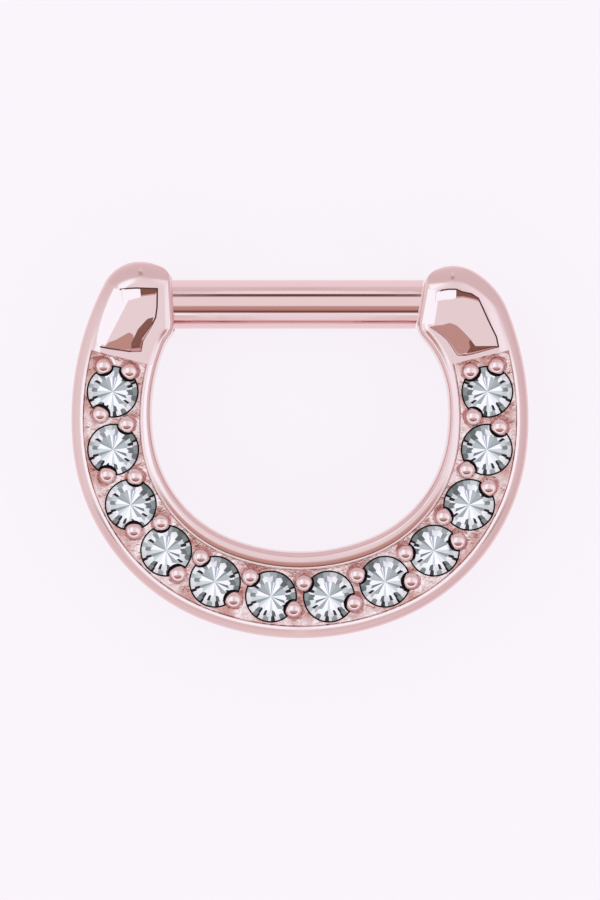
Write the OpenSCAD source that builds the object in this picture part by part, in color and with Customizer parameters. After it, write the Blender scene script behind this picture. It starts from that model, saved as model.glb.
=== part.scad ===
// Clicker ring for body jewellery: a cast D-shaped frame with a row of round
// stones set across its front, closed by a straight bar. The bar turns on a
// pin in one end of the frame and drops into a slot in the other end.
// The ring lies on its flat back with the stones facing up. X runs along the
// bar and Y runs from the curve of the frame towards the bar.

/* [Frame] */
// Width of the frame across its sides
frame_w = 11.16; // [11.0:0.02:11.3]
// Width of the metal at the middle of the curve
curve_w = 2.1; // [2.06:0.01:2.14]
// Thickness of the frame from its back to its front
frame_t = 2.3; // [2.26:0.01:2.4]
// Radius of the edges of the front
front_round = 0.42; // [0.4:0.01:0.44]
// Radius of the edges of the back
back_round = 0.12; // [0.05:0.01:0.15]

/* [Channel] */
// Width of the outer rim
rim_w = 0.27; // [0.24:0.01:0.3]
// Width of the channel that holds the stones
channel_w = 1.4; // [1.36:0.01:1.42]
// Depth of the channel below the rims
channel_depth = 0.25; // [0.2:0.01:0.3]

/* [Stones] */
// Diameter of each stone
stone_d = 1.25; // [1.2:0.01:1.26]
// Distance from stone to stone along the channel
stone_pitch = 1.42; // [1.4:0.01:1.43]
// Diameter of the grains of metal that hold the stones
grain_d = 0.4; // [0.36:0.01:0.42]
// Gap between a stone and its seat
seat_gap = 0.03; // [0.02:0.01:0.04]

/* [Bar] */
// Diameter of the bar
bar_d = 1.2; // [1.16:0.01:1.22]
// Thickness of the flat tongues at both ends of the bar
tongue_t = 0.7; // [0.6:0.01:0.72]
// Diameter of the hinge pin
pin_d = 0.6; // [0.5:0.01:0.64]
// Clearance around the pin inside the bar
pin_gap = 0.03; // [0.02:0.01:0.05]
// Clearance between a tongue and its slot
slot_gap = 0.05; // [0.04:0.01:0.06]
// Angle at which the bar stands open
open_angle = 0; // [0:5:90]

/* [Hidden] */
stone_n = 12;
function stone_name(i) = str("stone_", i < 10 ? "0" : "", i);
$fn = 96;
rose = [0.87, 0.68, 0.66];
clear = [0.88, 0.92, 0.94];

// Outlines of the right half, from the middle of the curve to the bar. A row
// is one arc that flows into the next: radius, degrees turned. The radii are
// those of a frame 11.16 wide and follow frame_w. The left half is mirrored.
size = frame_w / 11.16;
outer_low = [[6.44, 21.7], [5.06, 62.8]];
outer_hinge = concat(outer_low, [[7.16, 33.1], [0.96, 62.7], [1.21, 130]]);
outer_catch = concat(outer_low, [[7.16, 27.1], [1.92, 39.1], [1, 150]]);
inner_low = [[4.56, 22.1], [3.07, 58.4]];
inner_hinge = concat(inner_low, [[4.37, 31.2], [1.04, 100]]);
inner_catch = concat(inner_low, [[4.37, 15.1], [2.5, 80]]);

// Works out the arcs of an outline: centre x, centre y, radius, start, end
function arcs(rows, c, a = -90, i = 0) =
    let (r = rows[i][0] * size, b = a + rows[i][1], here = [c.x, c.y, r, a, b])
    i == len(rows) - 1 ? [here] :
    let (step = r - rows[i + 1][0] * size)
    concat([here], arcs(rows, c + step * [cos(b), sin(b)], b, i + 1));
function outline(rows, bottom) = arcs(rows, [0, bottom + rows[0][0] * size]);

hinge_crown = outline(outer_hinge, 0)[3];
frame_h = hinge_crown.y + hinge_crown[2];
bottom_y = -frame_h / 2;
outer_l = outline(outer_hinge, bottom_y);
outer_r = outline(outer_catch, bottom_y);
inner_l = outline(inner_hinge, bottom_y + curve_w);
inner_r = outline(inner_catch, bottom_y + curve_w);

// The channel stops short of the polished ends at this angle on the side arc
end_angle = 14.1;
floor_z = frame_t - channel_depth;
corner_r = front_round + 0.04;
row_depth = rim_w + channel_w / 2;

// The bar: its line lies 8.17 above the lowest point of the curve
bar_r = bar_d / 2;
bar_y = bottom_y + 8.17 * size;
bar_z = 1.1;
pivot_x = -3.82 * size;
knuckle_r = 0.55;
boss_r = 0.66;
shoulder_x = pivot_x + boss_r + 0.06;
neck_r = 0.45;
catch_x = 3.55 * size;
bar_gap = 0.04;
pin_top = 1.95;
pin_seat = 0.02;
hinge_face_x = 3.1 * size;
hinge_face_tilt = 3.5;
catch_face_x = 2.97 * size;
catch_face_tilt = 10;

// Proportions of a round brilliant, as shares of its diameter
table_share = 0.56;
crown_share = 0.15;
girdle_share = 0.03;
pavilion_share = 0.41;
sliver = 0.004;

function on_arc(arc, r, a) = [arc.x + r * cos(a), arc.y + r * sin(a)];
function centre(arc) = [arc.x, arc.y];

// The place at length s along a line that follows an outline at a depth
function follow(list, s, depth, i = 0) =
    let (r = list[i][2] - depth, part = r * (list[i][4] - list[i][3]) * PI / 180)
    s <= part || i == 2
        ? [list[i], list[i][3] + s / r * 180 / PI]
        : follow(list, s - part, depth, i + 1);

// Places along the middle of the channel, from the middle of the curve
function row_point(s, depth) =
    let (q = follow(outer_r, abs(s), row_depth), at = on_arc(q[0], q[0][2] - depth, q[1]))
    [s < 0 ? -at.x : at.x, at.y];
function stone_s(i) = (i - (stone_n + 1) / 2) * stone_pitch;

// Grains stand in staggered pairs between the stones and beyond the last ones
grain_depth = [0.7, 1.35];
grain_shift = [-0.15, 0.1];
grain_end_s = stone_s(stone_n) + 0.57;
grain_z = floor_z + 0.04;

// Points on an arc in n equal steps, without the last one
function arc_points(arc, r, from, to, n) = [for (k = [0 : n - 1]) on_arc(arc, r, from + (to - from) * k / n)];

// Where a line that starts at p and runs along d crosses a circle, far side
function crossing(p, d, c, r) =
    let (t = (c - p) * d, m = p + t * d - c)
    p + (t + sqrt(r * r - m * m)) * d;
function heading(from, to) = let (a = atan2(to.y - from.y, to.x - from.x)) a < 0 ? a + 360 : a;

// How many steps each arc of an outline is cut into beside the channel, from
// the middle of the curve to the channel's end. The opening of each half has
// the same number in all. A polished end has its own: the rest of the side
// arc, two arcs of the crown, two corners, and the way back along the opening.
outer_steps = [5, 16, 7];
catch_steps = [5, 16, 5, 2];
hinge_steps = [5, 16, 7];
end_steps = [4, 8, 5, 5, 4, 4, 2];
stations = outer_steps[0] + outer_steps[1] + outer_steps[2];
// The front's rounded edge is this much narrower at the opening
inner_share = 0.85;

// The right half of the frame's edge, set in by d. It follows the outline to
// the bar, turns a corner to the flat face beside the bar, turns another to
// the opening and comes back to the middle of the curve. The last value of
// inner_steps belongs to the arc on which the channel's end falls.
function half_edge(outer, inner, inner_steps, face_x, tilt, d) =
    let (
        e = d * inner_share,
        up_face = [sin(tilt), cos(tilt)],
        start = [face_x, bar_y] + corner_r * [cos(tilt), -sin(tilt)],
        top = crossing(start, up_face, centre(outer[4]), outer[4][2] - corner_r),
        low = crossing(start, up_face, centre(inner[3]), inner[3][2] + corner_r),
        turn = heading(centre(outer[4]), top),
        curl = heading(centre(inner[3]), low),
        n = end_steps,
        j = len(inner_steps) - 1,
        stop = crossing(centre(outer[2]), [cos(end_angle), sin(end_angle)], centre(inner[j]), inner[j][2] + e),
        stop_angle = heading(centre(inner[j]), stop))
    concat(
        arc_points(outer[0], outer[0][2] - d, outer[0][3], outer[0][4], outer_steps[0]),
        arc_points(outer[1], outer[1][2] - d, outer[1][3], outer[1][4], outer_steps[1]),
        arc_points(outer[2], outer[2][2] - d, outer[2][3], end_angle, outer_steps[2]),
        arc_points(outer[2], outer[2][2] - d, end_angle, outer[2][4], n[0]),
        arc_points(outer[3], outer[3][2] - d, outer[3][3], outer[3][4], n[1]),
        arc_points(outer[4], outer[4][2] - d, outer[4][3], turn, n[2]),
        [for (k = [0 : n[3]])
            on_arc(top, corner_r - d + (d - e) * k / n[3], turn + (180 - tilt - turn) * k / n[3])],
        arc_points(low, corner_r - e, 180 - tilt, curl + 180, n[4]),
        arc_points(inner[3], inner[3][2] + e, curl, j == 2 ? inner[3][3] : stop_angle, n[5]),
        j == 2 ? arc_points(inner[2], inner[2][2] + e, inner[2][4], stop_angle, n[6]) : [],
        arc_points(inner[j], inner[j][2] + e, stop_angle, inner[j][3], inner_steps[j]),
        [for (i = [j - 1 : -1 : 0]) each arc_points(inner[i], inner[i][2] + e, inner[i][4], inner[i][3], inner_steps[i])],
        [on_arc(inner[0], inner[0][2] + e, -90)]);
function right_edge(d) = half_edge(outer_r, inner_r, catch_steps, catch_face_x, catch_face_tilt, d);
function left_edge(d) =
    [for (p = half_edge(outer_l, inner_l, hinge_steps, hinge_face_x, hinge_face_tilt, d)) [-p.x, p.y]];

// The edge of the front is rounded in a few short bevels. The last of them is
// left out beside the channel, which starts where it would begin.
rim_angle = acos(1 - rim_w / front_round);
bevels = 4;
front_edge = [for (k = [0 : bevels])
    let (a = rim_angle * k / bevels) [front_round * (1 - cos(a)), frame_t - front_round * (1 - sin(a))]];
rim_z = front_edge[bevels][1];
edges = concat([[back_round, 0], [0, back_round]], front_edge);

function wall_point(i, depth) =
    let (k = abs(i), a = outer_steps[0], b = outer_steps[1], c = outer_steps[2],
        arc = k < a ? outer_r[0] : k < a + b ? outer_r[1] : outer_r[2],
        share = k < a ? k / a : k < a + b ? (k - a) / b : (k - a - b) / c,
        last = k < a + b ? arc[4] : end_angle,
        at = on_arc(arc, arc[2] - depth, arc[3] + (last - arc[3]) * share))
    [i < 0 ? -at.x : at.x, at.y];
function at_height(points, z) = [for (p = points) [p.x, p.y, z]];

// The metal of the frame before the stones' seats and the slots are cut. Its
// points come in rings round the edge, right half first, then the walls of
// the channel from left to right, then the tops of the two polished ends.
module metal() {
    right_n = len(right_edge(0));
    left_n = len(left_edge(0));
    ring = right_n + left_n - 2;
    // Number of the k-th point of the left half in a ring
    function left(k) = k == 0 ? 0 : k == left_n - 1 ? right_n - 1 : ring - k;
    function outer_i(i) = i < 0 ? left(-i) : i;
    function inner_i(i) = i < 0 ? left(left_n - 1 + i) : right_n - 1 - i;
    rings = [for (e = edges) let (l = left_edge(e[0]))
        at_height(concat(right_edge(e[0]), [for (k = [left_n - 2 : -1 : 1]) l[k]]), e[1])];
    span = 2 * stations + 1;
    floor_o = len(edges) * ring + stations;
    floor_i = floor_o + span;
    rim_i = floor_i + span;
    tops = len(edges) * ring + 3 * span;
    right_top = right_n - 2 * stations;
    left_top = left_n - 2 * stations;
    top_r = at_height([for (k = [stations : right_n - 1 - stations]) right_edge(front_round)[k]], frame_t);
    top_l = at_height([for (k = [stations : left_n - 1 - stations]) left_edge(front_round)[k]], frame_t);
    across = [for (i = [-stations : stations]) i];
    points = concat(
        [for (r = rings, p = r) p],
        at_height([for (i = across) wall_point(i, rim_w)], floor_z),
        at_height([for (i = across) wall_point(i, rim_w + channel_w)], floor_z),
        at_height([for (i = across) wall_point(i, rim_w + channel_w)], rim_z),
        top_r, top_l);
    front = (len(edges) - 1) * ring;
    faces = concat(
        [for (i = [0 : len(edges) - 2], k = [0 : ring - 1])
            let (a = i * ring + k, b = i * ring + (k + 1) % ring) [a, a + ring, b + ring, b]],
        [for (i = [-stations : stations - 1]) [outer_i(i), outer_i(i + 1), inner_i(i + 1), inner_i(i)]],
        [[for (k = [stations : right_n - 1 - stations]) k]],
        [[for (k = [left_n - 1 - stations : -1 : stations]) left(k)]],
        [for (i = [-stations : stations - 1])
            each [
                [front + outer_i(i + 1), front + outer_i(i), floor_o + i, floor_o + i + 1],
                [floor_o + i + 1, floor_o + i, floor_i + i, floor_i + i + 1],
                [floor_i + i + 1, floor_i + i, rim_i + i, rim_i + i + 1],
                [rim_i + i + 1, rim_i + i, front + inner_i(i), front + inner_i(i + 1)]]],
        [for (k = [0 : right_top - 2])
            [front + stations + k, tops + k, tops + k + 1, front + stations + k + 1]],
        [for (k = [0 : left_top - 2])
            [front + left(stations + k + 1), tops + right_top + k + 1, tops + right_top + k,
                front + left(stations + k)]],
        [[for (k = [right_top - 1 : -1 : 0]) tops + k]],
        [[for (k = [0 : left_top - 1]) tops + right_top + k]],
        [[front + outer_i(stations), floor_o + stations, floor_i + stations, rim_i + stations,
            front + inner_i(stations), tops + right_top - 1, tops]],
        [[front + outer_i(-stations), tops + right_top, tops + right_top + left_top - 1,
            front + inner_i(-stations), rim_i - stations, floor_i - stations, floor_o - stations]]);
    polyhedron(points = points, faces = faces);
}

// The room that a stone takes up in the metal, open at the top
module seat() {
    culet_r = 0.08;
    r = stone_d / 2 + seat_gap;
    crown = crown_share * stone_d;
    table_r = table_share * stone_d / 2 + seat_gap;
    translate([0, 0, -pavilion_share * stone_d - seat_gap])
        cylinder(r1 = culet_r, r2 = r, h = pavilion_share * stone_d);
    translate([0, 0, -seat_gap]) cylinder(r = r, h = 2 * seat_gap);
    translate([0, 0, seat_gap]) cylinder(r1 = r, r2 = table_r, h = crown);
    cylinder(r = table_r, h = frame_t);
}

module grains() {
    for (i = [1 : stone_n - 1], k = [0, 1])
        grain(row_point(stone_s(i + 0.5) + grain_shift[k], grain_depth[k]));
    for (end = [-1, 1], k = [0, 1])
        grain(row_point(end * grain_end_s, grain_depth[k] - 0.05));
}

module grain(at)
    translate([at.x, at.y, grain_z]) sphere(d = grain_d);

// The plan that the opening bar sweeps beside the pivot
module hinge_sweep() {
    reach = 2.5;
    translate([pivot_x, bar_y]) {
        translate([0, -boss_r]) square([reach, 2 * reach]);
        translate([-boss_r, 0]) square([reach, 2 * reach]);
    }
}

// The slot in the hinge end: wide enough for the bar, narrow between two
// bosses that carry the pin
module hinge_slot() {
    narrow = tongue_t + 2 * slot_gap;
    wide = bar_d + 2 * slot_gap;
    translate([0, 0, bar_z - wide / 2])
        linear_extrude(wide)
            difference() {
                hinge_sweep();
                translate([pivot_x, bar_y]) circle(boss_r);
            }
    translate([0, 0, bar_z - narrow / 2])
        linear_extrude(narrow) {
            hinge_sweep();
            translate([pivot_x, bar_y]) circle(knuckle_r + slot_gap);
        }
    translate([pivot_x, bar_y, -1]) cylinder(d = pin_d + 2 * pin_seat, h = 1 + pin_top + pin_seat);
}

// The slot in the catch end, open towards the bar and away from the curve
module catch_slot() {
    reach = 3;
    narrow = tongue_t + 2 * slot_gap;
    r = neck_r + slot_gap;
    translate([0, 0, bar_z - narrow / 2])
        linear_extrude(narrow) {
            translate([catch_x, bar_y]) circle(r);
            translate([catch_x - reach, bar_y - r]) square([reach, 2 * reach]);
            translate([catch_x - reach, bar_y]) square([reach + r, 2 * reach]);
        }
}

module frame()
    color(rose)
        difference() {
            union() {
                metal();
                grains();
            }
            for (i = [1 : stone_n])
                translate(concat(row_point(stone_s(i), row_depth), floor_z)) seat();
            hinge_slot();
            catch_slot();
        }

// The round part of the bar, with a bevel at the hinge and a slanted end that
// matches the face beside the catch
module round_bar() {
    bevel = 0.12;
    length = catch_face_x - shoulder_x + 0.5;
    difference() {
        translate([shoulder_x, bar_y, bar_z])
            rotate([0, 90, 0])
                rotate_extrude()
                    polygon([[0, 0], [bar_r - bevel, 0], [bar_r, bevel], [bar_r, length], [0, length]]);
        translate([catch_face_x - bar_gap, bar_y, 0])
            rotate([0, 0, -catch_face_tilt])
                translate([0, -2, -1]) cube([2, 4, 5]);
    }
}

module bar()
    color(rose)
        translate([pivot_x, bar_y, 0]) rotate([0, 0, open_angle]) translate([-pivot_x, -bar_y, 0])
            difference() {
                union() {
                    round_bar();
                    translate([0, 0, bar_z - tongue_t / 2])
                        linear_extrude(tongue_t) {
                            translate([pivot_x, bar_y]) circle(knuckle_r);
                            translate([pivot_x, bar_y - neck_r]) square([1.5, 2 * neck_r]);
                            translate([catch_x - 1.5, bar_y - neck_r]) square([1.5, 2 * neck_r]);
                            translate([catch_x, bar_y]) circle(neck_r);
                        }
                }
                translate([pivot_x, bar_y, -1]) cylinder(d = pin_d + 2 * pin_gap, h = 4);
            }

module hinge_pin()
    color(rose)
        translate([pivot_x, bar_y, pin_seat])
            cylinder(d = pin_d, h = pin_top - pin_seat);

// A round brilliant: a table and its crown, a thin girdle and a pavilion
module stone(i) {
    r = stone_d / 2;
    table_r = table_share * r;
    crown = crown_share * stone_d;
    girdle = girdle_share * stone_d;
    pavilion = pavilion_share * stone_d - girdle;
    star_r = (table_r * cos(22.5) + r) / 2;
    star_z = crown * (r - star_r * cos(22.5)) / (r - table_r);
    half_r = r / 4;
    half_z = -pavilion * (1 - half_r * cos(22.5) / r);
    color(clear)
        translate(concat(row_point(stone_s(i), row_depth), floor_z))
            hull() {
                translate([0, 0, crown - sliver]) cylinder(r = table_r, h = sliver, $fn = 8);
                rotate(22.5) translate([0, 0, star_z - sliver]) cylinder(r = star_r, h = sliver, $fn = 8);
                translate([0, 0, -girdle]) cylinder(r = r, h = girdle, $fn = 16);
                rotate(22.5) translate([0, 0, half_z - girdle]) cylinder(r = half_r, h = sliver, $fn = 8);
                translate([0, 0, -girdle - pavilion]) cylinder(r = 0.01, h = sliver, $fn = 8);
            }
}

frame();
bar();
hinge_pin();
for (i = [1 : stone_n])
    stone(i);
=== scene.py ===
# Clicker ring: a rose metal frame with a row of round stones, closed by a hinged bar.
# Meshes are built in millimetres and scaled to metres when they are finished.
import math

import bmesh
import bpy
from mathutils import Matrix, Vector


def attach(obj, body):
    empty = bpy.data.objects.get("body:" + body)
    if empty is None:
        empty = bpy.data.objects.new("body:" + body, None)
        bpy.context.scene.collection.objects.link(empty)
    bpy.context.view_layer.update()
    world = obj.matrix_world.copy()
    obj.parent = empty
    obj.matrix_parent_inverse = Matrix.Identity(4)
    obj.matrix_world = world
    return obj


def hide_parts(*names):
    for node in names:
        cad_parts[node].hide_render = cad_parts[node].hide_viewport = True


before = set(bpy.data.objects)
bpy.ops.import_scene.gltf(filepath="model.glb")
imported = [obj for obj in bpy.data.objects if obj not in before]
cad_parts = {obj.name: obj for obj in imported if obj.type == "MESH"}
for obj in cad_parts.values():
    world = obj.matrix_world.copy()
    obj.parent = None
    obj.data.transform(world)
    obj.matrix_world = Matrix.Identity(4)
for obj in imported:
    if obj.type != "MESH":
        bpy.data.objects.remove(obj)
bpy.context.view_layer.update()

mm = 0.001          # one millimetre in metres
tiny = 0.0005       # points nearer than this, in millimetres, are one
stoneCount = 12
flatArea = 0.03     # a face larger than this, in square millimetres, is meant to be flat


# Plan of the frame. A row is one arc that flows into the next: radius, degrees turned,
# from the middle of the curve to the bar. The hinge half is mirrored to the left.
plan = {
    "outerHinge": [(6.44, 21.7), (5.06, 62.8), (7.16, 33.1), (0.96, 62.7), (1.21, 130)],
    "outerCatch": [(6.44, 21.7), (5.06, 62.8), (7.16, 27.1), (1.92, 39.1), (1.0, 150)],
    "innerHinge": [(4.56, 22.1), (3.07, 58.4), (4.37, 31.2), (1.04, 100)],
    "innerCatch": [(4.56, 22.1), (3.07, 58.4), (4.37, 15.1), (2.5, 80)],
    "curveMetal": 2.1,      # width of metal at the middle of the curve
    "corner": 0.46,         # corners beside the bar
    "barAbove": 8.17,       # the bar's line above the lowest point
    "hingeFace": (3.1, 3.5),    # flat face beside the bar: distance from the middle, tilt
    "catchFace": (2.97, 10),
    "height": 9.1915,
    "arcStep": 2.5,         # degrees for each edge of an arc
}
bottomY = -plan["height"] / 2
barY = bottomY + plan["barAbove"]


# The value that a shader uses for an sRGB colour
def linear(hexColour):
    parts = [int(hexColour[i:i + 2], 16) / 255 for i in (0, 2, 4)]
    return [p / 12.92 if p <= 0.04045 else ((p + 0.055) / 1.055) ** 2.4 for p in parts] + [1.0]


# Adds a node with its settings. An input is a value, or another node's output that is linked to it.
def addNode(tree, kind, inputs=None, **settings):
    node = tree.nodes.new(kind)
    for name, value in settings.items():
        setattr(node, name, value)
    for name, value in (inputs or {}).items():
        if isinstance(value, bpy.types.NodeSocket):
            tree.links.new(value, node.inputs[name])
        else:
            node.inputs[name].default_value = value
    return node


def newMaterial(name):
    material = bpy.data.materials.new(name)
    material.use_nodes = True
    tree = material.node_tree
    tree.nodes.clear()
    output = addNode(tree, "ShaderNodeOutputMaterial")
    return material, tree, output


# Merges, turns the faces outwards, scales to metres and hands the piece to the frame. Smooth is the
# angle in degrees above which an edge stays sharp.
def finished(bm, name, materials, body, node, smooth=None):
    bmesh.ops.remove_doubles(bm, verts=bm.verts, dist=tiny / 10)
    bmesh.ops.recalc_face_normals(bm, faces=bm.faces)
    bm.transform(Matrix.Scale(mm, 4))
    mesh = bpy.data.meshes.new(name)
    bm.to_mesh(mesh)
    bm.free()
    piece = bpy.data.objects.new(name, mesh)
    bpy.context.scene.collection.objects.link(piece)
    for material in materials:
        mesh.materials.append(material)
    if smooth:
        mesh.shade_smooth()
        mesh.set_sharp_from_angle(angle=math.radians(smooth))
        for face in mesh.polygons:
            face.use_smooth = face.area < flatArea * mm ** 2
    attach(piece, body)
    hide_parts(node)
    return piece


def onlyVerts(geometry):
    return [g for g in geometry if isinstance(g, bmesh.types.BMVert)]


def onlyEdges(geometry):
    return [g for g in geometry if isinstance(g, bmesh.types.BMEdge)]


# Runs one modifier on a mesh and returns what it makes as a new mesh
def modified(bm, kind, **settings):
    base = loosePiece(bm)
    modifier = base.modifiers.new("change", kind)
    for name, value in settings.items():
        setattr(modifier, name, value)
    bpy.context.view_layer.update()
    result = bmesh.new()
    result.from_object(base, bpy.context.evaluated_depsgraph_get())
    removePiece(base)
    return result


def loosePiece(bm):
    mesh = bpy.data.meshes.new("loose")
    bm.to_mesh(mesh)
    bm.free()
    for slot in range(4):
        mesh.materials.append(None)     # keeps the faces' material numbers through a modifier
    piece = bpy.data.objects.new("loose", mesh)
    bpy.context.scene.collection.objects.link(piece)
    return piece


def removePiece(piece):
    mesh = piece.data
    bpy.data.objects.remove(piece)
    bpy.data.meshes.remove(mesh)


# Subtracts the second mesh, joins the two or keeps what they share
def combined(bm, cutter, operation="DIFFERENCE"):
    for part in (bm, cutter):
        bmesh.ops.recalc_face_normals(part, faces=part.faces)
    tool = loosePiece(cutter)
    result = modified(bm, "BOOLEAN", object=tool, operation=operation, solver="EXACT")
    removePiece(tool)
    return result


def polar(angle, radius=1.0):
    return Vector((math.cos(math.radians(angle)), math.sin(math.radians(angle)))) * radius


def heading(vector):
    return math.degrees(math.atan2(vector.y, vector.x)) % 360


# Arcs that flow into one another: centre, radius, and the angles at which each begins and stops
def flowingArcs(rows, start):
    arcs = []
    centre = start + Vector((0, rows[0][0]))
    angle = -90
    for i, (radius, turned) in enumerate(rows):
        if i:
            centre = centre + polar(angle, rows[i - 1][0] - radius)
        arcs.append((centre, radius, angle, angle + turned))
        angle += turned
    return arcs


# Where a line from the point leaves the circle
def farCrossing(point, direction, centre, radius):
    along = (centre - point).dot(direction)
    middle = point + direction * along
    return middle + direction * math.sqrt(radius ** 2 - (middle - centre).length ** 2)


outerArcs = {end: flowingArcs(plan["outer" + end], Vector((0, bottomY))) for end in ("Hinge", "Catch")}
innerArcs = {end: flowingArcs(plan["inner" + end], Vector((0, bottomY + plan["curveMetal"])))
             for end in ("Hinge", "Catch")}


# The arcs of one half of the frame's outline, from the middle of the curve round the end and back
def halfOutline(end):
    outer, inner = outerArcs[end], innerArcs[end]
    faceX, tilt = plan[end.lower() + "Face"]
    corner = plan["corner"]
    upFace = Vector((math.sin(math.radians(tilt)), math.cos(math.radians(tilt))))
    start = Vector((faceX, barY)) + corner * Vector((upFace.y, -upFace.x))
    top = farCrossing(start, upFace, outer[4][0], outer[4][1] - corner)
    low = farCrossing(start, upFace, inner[3][0], inner[3][1] + corner)
    turn = heading(top - outer[4][0])
    curl = heading(low - inner[3][0])
    arcs = outer[:4] + [(outer[4][0], outer[4][1], outer[4][2], turn)]
    arcs += [(top, corner, turn, 180 - tilt), (low, corner, 180 - tilt, curl + 180)]
    arcs += [(inner[3][0], inner[3][1], curl, inner[3][2])]
    arcs += [(centre, radius, stop, begin) for centre, radius, begin, stop in reversed(inner[:3])]
    return arcs


# Draws the arcs as a row of edges, with straight edges between arcs that don't meet
def traceArcs(bm, arcs):
    vert = None
    for centre, radius, begin, stop in arcs:
        point = (centre + polar(begin, radius)).to_3d()
        if vert is None:
            vert = bmesh.ops.create_vert(bm, co=point)["vert"][0]
        elif (vert.co - point).length > tiny:
            vert = bmesh.ops.extrude_vert_indiv(bm, verts=[vert])["verts"][0]
            vert.co = point
        vert = onlyVerts(sweep(bm, [vert], [(centre, radius, begin, stop)]))[0]
    return vert


# Sweeps a section along arcs, one after another, and returns where it gets to
def sweep(bm, section, arcs):
    for centre, radius, begin, stop in arcs:
        steps = max(2, round(abs(stop - begin) / plan["arcStep"]))
        spun = bmesh.ops.spin(bm, geom=section, cent=centre.to_3d(), axis=(0, 0, 1),
                              angle=math.radians(stop - begin), steps=steps, use_duplicate=False)
        section = spun["geom_last"]
    return section


# The row of stones along the channel, and the grains, the small beads of metal that hold them
setting = {
    "pitch": 1.42,          # distance from stone to stone along the channel
    "depth": 0.97,          # from the outline to the middle of the channel
    "grainDepths": (0.7, 1.35),
    "grainShifts": (-0.15, 0.1),
    "lastGrain": 8.38,      # the grains past the last stone: how far along the row
    "endShift": 0.05,       # and how much nearer to the outline
    "grainRadius": 0.22,
    "gap": 0.036,           # between a grain and the stone that it holds
    "roomHeight": 1.6,      # of the room for a grain in the stone's edge: more than the stone has
}


# A place in the channel: how far along the row of stones, from the middle of the curve, and how far
# inside the outline
def rowPoint(along, depth):
    left = abs(along)
    for i, (centre, radius, begin, stop) in enumerate(outerArcs["Catch"][:3]):
        rowRadius = radius - setting["depth"]
        length = math.radians(stop - begin) * rowRadius
        if left <= length or i == 2:
            at = centre + polar(begin + math.degrees(left / rowRadius), radius - depth)
            return Vector((math.copysign(at.x, along), at.y))
        left -= length


def stoneAlong(i):
    return (i - (stoneCount + 1) / 2) * setting["pitch"]


# Materials
steel = {
    "tint": "EED0CF",
    "hazeSize": 1.6,            # millimetres from one slightly duller patch to the next
    "swirlSize": 0.9,           # polishing leaves very low waves
    "swirlDepth": 0.006,
    "polished": (0.035, 0.07),  # roughness of the bar and the pin, at its least and most
    "tumbled": (0.12, 0.16),    # the frame is a little softer
    "castShades": ("CE9B94", "F0D6D4"),
    "pitSize": 0.14,
    "waveSize": 0.45,
    "castDepth": 0.09,
    "castRough": 0.16,
}


def roseMetal(name, roughness):
    # polished surgical steel with a rose gold coating: clean reflections with a pink tint
    material, tree, output = newMaterial(name)
    place = addNode(tree, "ShaderNodeTexCoord")
    haze = addNode(tree, "ShaderNodeTexNoise", {
        "Vector": place.outputs["Object"], "Scale": 1 / (steel["hazeSize"] * mm), "Detail": 2.0})
    rough = addNode(tree, "ShaderNodeMapRange", {
        "Value": haze.outputs["Fac"], "To Min": roughness[0], "To Max": roughness[1]})
    swirl = addNode(tree, "ShaderNodeTexNoise", {
        "Vector": place.outputs["Object"], "Scale": 1 / (steel["swirlSize"] * mm), "Detail": 1.0})
    bump = addNode(tree, "ShaderNodeBump", {
        "Height": swirl.outputs["Fac"], "Strength": 0.25, "Distance": steel["swirlDepth"] * mm})
    shader = addNode(tree, "ShaderNodeBsdfPrincipled", {
        "Base Color": linear(steel["tint"]), "Metallic": 1.0, "Roughness": rough.outputs["Result"],
        "Normal": bump.outputs["Normal"]})
    tree.links.new(shader.outputs["BSDF"], output.inputs["Surface"])
    return material


def castMetal():
    # the same metal as it came from the mould: slightly pitted, less bright, and paler on the crests of
    # its low waves
    material, tree, output = newMaterial("castRoseGoldSteel")
    place = addNode(tree, "ShaderNodeTexCoord")
    pits = addNode(tree, "ShaderNodeTexNoise", {
        "Vector": place.outputs["Object"], "Scale": 1 / (steel["pitSize"] * mm), "Detail": 3.0,
        "Roughness": 0.55})
    waves = addNode(tree, "ShaderNodeTexNoise", {
        "Vector": place.outputs["Object"], "Scale": 1 / (steel["waveSize"] * mm), "Detail": 1.0})
    height = addNode(tree, "ShaderNodeMath", {0: pits.outputs["Fac"], 1: 0.35}, operation="MULTIPLY")
    total = addNode(tree, "ShaderNodeMath", {
        0: height.outputs[0], 1: waves.outputs["Fac"]}, operation="ADD")
    bump = addNode(tree, "ShaderNodeBump", {
        "Height": total.outputs[0], "Strength": 1.0, "Distance": steel["castDepth"] * mm})
    paleOnCrests = addNode(tree, "ShaderNodeMapRange", {
        "Value": waves.outputs["Fac"], "From Min": 0.35, "From Max": 0.62})
    dark, pale = steel["castShades"]
    tint = addNode(tree, "ShaderNodeMix", {
        "Factor": paleOnCrests.outputs["Result"], "A": linear(dark), "B": linear(pale)}, data_type="RGBA")
    shader = addNode(tree, "ShaderNodeBsdfPrincipled", {
        "Base Color": tint.outputs["Result"], "Metallic": 1.0, "Roughness": steel["castRough"],
        "Normal": bump.outputs["Normal"]})
    tree.links.new(shader.outputs["BSDF"], output.inputs["Surface"])
    return material


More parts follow.
